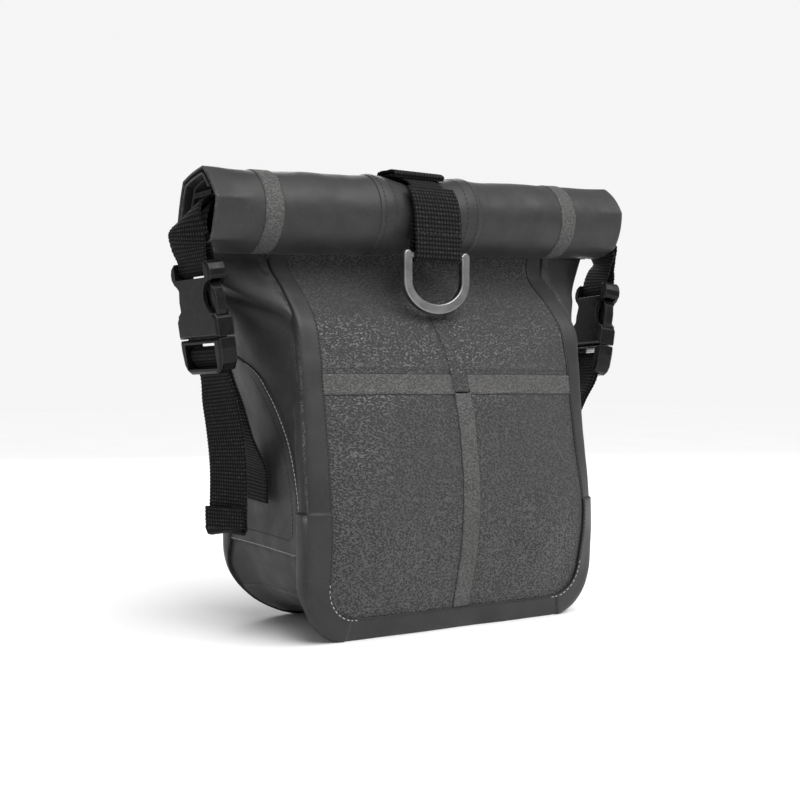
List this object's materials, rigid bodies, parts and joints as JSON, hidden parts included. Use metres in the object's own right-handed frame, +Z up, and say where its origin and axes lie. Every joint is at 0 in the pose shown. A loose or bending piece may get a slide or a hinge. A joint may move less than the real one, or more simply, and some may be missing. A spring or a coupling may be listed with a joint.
{
  "type": "pannier bag",
  "caption": "Small roll-top pannier bag with welded seams, side-release buckles, a front D-ring, and rack hooks on its back.",
  "frame": {"origin": "middle of the bounding box, on the surface that the bag stands on", "axes": "+Z up, -Y out of the textured front face, +X along the roll towards the side at the right of a viewer facing the front"},
  "size_m": [0.3156, 0.1426, 0.268],
  "materials": {
    "coated_fabric": "satin coated",
    "grained_fabric": "leather-grained coating",
    "seam_tape": "welded tape",
    "webbing": "ribbed webbing",
    "buckle_plastic": "satin moulded",
    "ring_steel": "gunmetal plated",
    "rail_aluminium": "black anodised",
    "board_plastic": "moulded sheet",
    "hook_plastic": "glass-filled moulded",
    "liner_rubber": "soft insert",
    "screw_steel": "stainless"
  },
  "bodies": {
    "bag": {"back_board": "board_plastic", "back_frame_tape": "seam_tape", "back_panel": "coated_fabric", "bottom_board": "board_plastic", "bottom_panel": "coated_fabric", "centre_strap": "webbing", "folded_tab": "webbing", "front_frame_tape": "seam_tape", "front_panel_lower_left": "grained_fabric", "front_panel_lower_right": "grained_fabric", "front_panel_upper_left": "grained_fabric", "front_panel_upper_right": "grained_fabric", "horizontal_seam_tape": "seam_tape", "left_bottom_tape": "seam_tape", "left_buckle_socket": "buckle_plastic", "left_roll_tape": "seam_tape", "left_side_panel": "coated_fabric", "left_side_patch": "coated_fabric", "left_upper_strap": "webbing", "lower_rail": "rail_aluminium", "mounting_rail": "rail_aluminium", "mouth_stiffener": "board_plastic", "rail_nuts": "screw_steel", "rail_screws": "screw_steel", "right_bottom_tape": "seam_tape", "right_buckle_socket": "buckle_plastic", "right_roll_tape": "seam_tape", "right_side_panel": "coated_fabric", "right_side_patch": "coated_fabric", "right_upper_strap": "webbing", "ring_loop": "webbing", "roll_collar": "coated_fabric", "roll_reinforcement": "seam_tape", "vertical_seam_tape": "seam_tape"},
    "d_ring": {"d_ring": "ring_steel"},
    "stay_carriage": {"stay_hook_carriage": "hook_plastic", "stay_hook_rivet": "screw_steel"},
    "stay_claw": {"stay_hook_claw": "hook_plastic"},
    "left_plug": {"left_buckle_plug": "buckle_plastic", "left_lower_strap": "webbing"},
    "left_prong_front": {"left_buckle_prong_front": "buckle_plastic"},
    "left_prong_rear": {"left_buckle_prong_rear": "buckle_plastic"},
    "left_hook": {"left_rack_hook": "hook_plastic", "left_hook_liner": "liner_rubber", "left_latch_pin": "screw_steel", "left_clamp_screw": "screw_steel", "left_slot_nut": "screw_steel"},
    "left_latch": {"left_hook_latch": "hook_plastic"},
    "right_plug": {"right_buckle_plug": "buckle_plastic", "right_lower_strap": "webbing"},
    "right_prong_front": {"right_buckle_prong_front": "buckle_plastic"},
    "right_prong_rear": {"right_buckle_prong_rear": "buckle_plastic"},
    "right_hook": {"right_rack_hook": "hook_plastic", "right_hook_liner": "liner_rubber", "right_latch_pin": "screw_steel", "right_clamp_screw": "screw_steel", "right_slot_nut": "screw_steel"},
    "right_latch": {"right_hook_latch": "hook_plastic"}
  },
  "joints": [
    {"name": "d_ring_swing", "type": "hinge", "parent": "bag", "child": "d_ring", "pos_m": [-0.006, -0.045, 0.214], "axis": [-1, 0, 0], "range_deg": [-8, 150]},
    {"name": "left_buckle_slide", "type": "slide", "parent": "bag", "child": "left_plug", "axis": [0.1564, 0, -0.9877], "range_m": [0, 0.03], "deforming": ["left_lower_strap", "left_buckle_prong_front", "left_buckle_prong_rear"]},
    {"name": "left_prong_front", "type": "hinge", "parent": "left_plug", "child": "left_prong_front", "pos_m": [-0.13767, -0.02907, 0.16683], "axis": [-0.9755, -0.1564, -0.1545], "range_deg": [0, 6.5], "stiffness_Nm_per_rad": 0.02},
    {"name": "left_prong_rear", "type": "hinge", "parent": "left_plug", "child": "left_prong_rear", "pos_m": [-0.14083, -0.00893, 0.16633], "axis": [-0.9755, -0.1564, -0.1545], "range_deg": [-6.5, 0], "stiffness_Nm_per_rad": 0.02},
    {"name": "left_hook_slide", "type": "slide", "parent": "bag", "child": "left_hook", "axis": [1, 0, 0], "range_m": [-0.012, 0.012]},
    {"name": "left_latch_hinge", "type": "hinge", "parent": "left_hook", "child": "left_latch", "pos_m": [-0.048, 0.0478, 0.131], "axis": [-1, 0, 0], "range_deg": [0, 75], "stiffness_Nm_per_rad": 0.02, "springref_deg": -17.19},
    {"name": "right_buckle_slide", "type": "slide", "parent": "bag", "child": "right_plug", "axis": [-0.1564, 0, -0.9877], "range_m": [0, 0.03], "deforming": ["right_lower_strap", "right_buckle_prong_front", "right_buckle_prong_rear"]},
    {"name": "right_prong_front", "type": "hinge", "parent": "right_plug", "child": "right_prong_front", "pos_m": [0.13767, -0.02907, 0.16683], "axis": [-0.9755, 0.1564, 0.1545], "range_deg": [0, 6.5], "stiffness_Nm_per_rad": 0.02},
    {"name": "right_prong_rear", "type": "hinge", "parent": "right_plug", "child": "right_prong_rear", "pos_m": [0.14083, -0.00893, 0.16633], "axis": [-0.9755, 0.1564, 0.1545], "range_deg": [-6.5, 0], "stiffness_Nm_per_rad": 0.02},
    {"name": "right_hook_slide", "type": "slide", "parent": "bag", "child": "right_hook", "axis": [1, 0, 0], "range_m": [-0.012, 0.012]},
    {"name": "right_latch_hinge", "type": "hinge", "parent": "right_hook", "child": "right_latch", "pos_m": [0.048, 0.0478, 0.131], "axis": [-1, 0, 0], "range_deg": [0, 75], "stiffness_Nm_per_rad": 0.02, "springref_deg": -17.19},
    {"name": "stay_hook_slide", "type": "slide", "parent": "bag", "child": "stay_carriage", "axis": [1, 0, 0], "range_m": [-0.02, 0.02]},
    {"name": "stay_hook_swivel", "type": "hinge", "parent": "stay_carriage", "child": "stay_claw", "pos_m": [0, 0.0472, 0.052], "axis": [0, 1, 0], "range_deg": [-90, 90]}
  ],
  "couplings": [
    {"joint": "left_prong_rear", "follows": "left_prong_front", "ratio": -1},
    {"joint": "right_prong_rear", "follows": "right_prong_front", "ratio": -1}
  ]
}
